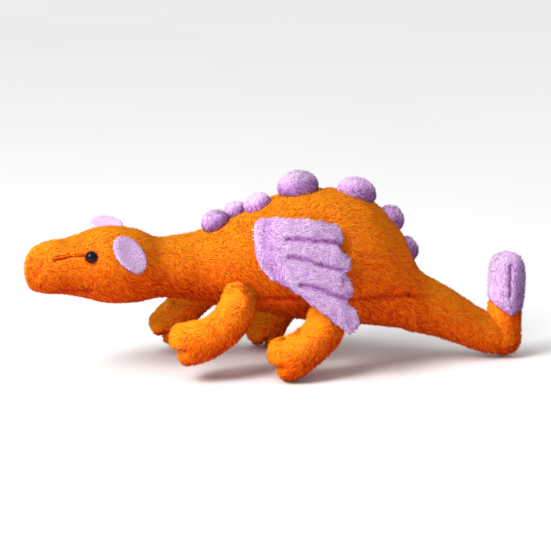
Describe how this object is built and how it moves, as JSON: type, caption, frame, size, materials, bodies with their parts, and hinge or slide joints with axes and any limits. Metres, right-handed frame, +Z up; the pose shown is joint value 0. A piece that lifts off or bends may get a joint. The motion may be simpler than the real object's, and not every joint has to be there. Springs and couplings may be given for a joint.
{
  "type": "stuffed toy dragon",
  "caption": "Plush dragon resting on bent legs, with quilted wings along its flanks, fold-over ears, padded bumps down its spine and an upturned tail end.",
  "frame": {"origin": "on the surface the toy rests on, under the middle of its bounding box", "axes": "+Z up, head towards -X, tail towards +X, the toy's own left side towards -Y"},
  "size_m": [0.5027, 0.2012, 0.1961],
  "materials": {
    "plush_orange": "soft short pile",
    "plush_lavender": "soft short pile",
    "fibre_filling": "loose fibre",
    "eye_plastic": "polished",
    "washer_plastic": "moulded"
  },
  "bodies": {
    "torso": {"belly_panel": "plush_orange", "spine_bump_1": "plush_lavender", "spine_bump_2": "plush_lavender", "spine_bump_3": "plush_lavender", "spine_bump_4": "plush_lavender", "spine_bump_5": "plush_lavender", "spine_bump_6": "plush_lavender", "spine_bump_7": "plush_lavender", "spine_bump_filling_1": "fibre_filling", "spine_bump_filling_2": "fibre_filling", "spine_bump_filling_3": "fibre_filling", "spine_bump_filling_4": "fibre_filling", "spine_bump_filling_5": "fibre_filling", "spine_bump_filling_6": "fibre_filling", "spine_bump_filling_7": "fibre_filling", "torso_filling": "fibre_filling", "torso_panel_left": "plush_orange", "torso_panel_right": "plush_orange"},
    "neck": {"neck_filling": "fibre_filling", "neck_skin": "plush_orange"},
    "head": {"chin_panel": "plush_orange", "eye_left": "eye_plastic", "eye_right": "eye_plastic", "eye_washer_left": "washer_plastic", "eye_washer_right": "washer_plastic", "head_filling": "fibre_filling", "head_panel_left": "plush_orange", "head_panel_right": "plush_orange"},
    "ear_left": {"ear_padding_left": "fibre_filling", "ear_skin_left": "plush_lavender"},
    "ear_right": {"ear_padding_right": "fibre_filling", "ear_skin_right": "plush_lavender"},
    "tail": {"tail_filling": "fibre_filling", "tail_skin": "plush_orange"},
    "tail_end": {"tail_end_filling": "fibre_filling", "tail_end_skin": "plush_orange", "tail_tip_cap": "plush_lavender"},
    "front_leg_left": {"front_leg_filling_left": "fibre_filling", "front_leg_skin_left": "plush_orange"},
    "front_leg_right": {"front_leg_filling_right": "fibre_filling", "front_leg_skin_right": "plush_orange"},
    "hind_leg_left": {"hind_leg_filling_left": "fibre_filling", "hind_leg_skin_left": "plush_orange"},
    "hind_leg_right": {"hind_leg_filling_right": "fibre_filling", "hind_leg_skin_right": "plush_orange"},
    "wing_left": {"wing_batting_left": "fibre_filling", "wing_face_left": "plush_lavender", "wing_lining_left": "plush_lavender"},
    "wing_right": {"wing_batting_right": "fibre_filling", "wing_face_right": "plush_lavender", "wing_lining_right": "plush_lavender"}
  },
  "joints": [
    {"name": "neck_turn", "type": "hinge", "parent": "torso", "child": "neck", "pos_m": [-0.075, 0, 0.1005], "axis": [0, 0, 1], "range_deg": [-38, 20]},
    {"name": "head_nod", "type": "hinge", "parent": "neck", "child": "head", "pos_m": [-0.12043, -0.0072, 0.103], "axis": [-0.1564, 0.9877, 0], "range_deg": [-25, 25]},
    {"name": "ear_left_fold", "type": "hinge", "parent": "head", "child": "ear_left", "pos_m": [-0.15272, -0.04623, 0.1385], "axis": [-0.8572, -0.515, 0], "range_deg": [0, 90]},
    {"name": "ear_right_fold", "type": "hinge", "parent": "head", "child": "ear_right", "pos_m": [-0.16321, 0.01995, 0.1385], "axis": [0.9877, 0.1564, 0], "range_deg": [-53, 36]},
    {"name": "tail_swing", "type": "hinge", "parent": "torso", "child": "tail", "pos_m": [0.146, 0, 0.06], "axis": [0, 0, 1], "range_deg": [-26, 26]},
    {"name": "tail_curl", "type": "hinge", "parent": "tail", "child": "tail_end", "pos_m": [0.2356, 0, 0.0205], "axis": [0, 1, 0], "range_deg": [0, 80]},
    {"name": "front_leg_left_swing", "type": "hinge", "parent": "torso", "child": "front_leg_left", "pos_m": [-0.039, -0.0505, 0.087], "axis": [0, 1, 0], "range_deg": [-14, 20]},
    {"name": "hind_leg_left_swing", "type": "hinge", "parent": "torso", "child": "hind_leg_left", "pos_m": [0.047, -0.054, 0.066], "axis": [0, 1, 0], "range_deg": [-30, 12]},
    {"name": "wing_left_spread", "type": "hinge", "parent": "torso", "child": "wing_left", "pos_m": [-0.032, -0.0365, 0.1355], "axis": [0, -0.456, -0.89], "range_deg": [0, 80]},
    {"name": "front_leg_right_swing", "type": "hinge", "parent": "torso", "child": "front_leg_right", "pos_m": [-0.039, 0.0505, 0.087], "axis": [0, 1, 0], "range_deg": [-14, 20]},
    {"name": "hind_leg_right_swing", "type": "hinge", "parent": "torso", "child": "hind_leg_right", "pos_m": [0.047, 0.054, 0.066], "axis": [0, 1, 0], "range_deg": [-30, 12]},
    {"name": "wing_right_spread", "type": "hinge", "parent": "torso", "child": "wing_right", "pos_m": [-0.032, 0.0365, 0.1355], "axis": [0, -0.456, 0.89], "range_deg": [0, 80]}
  ]
}
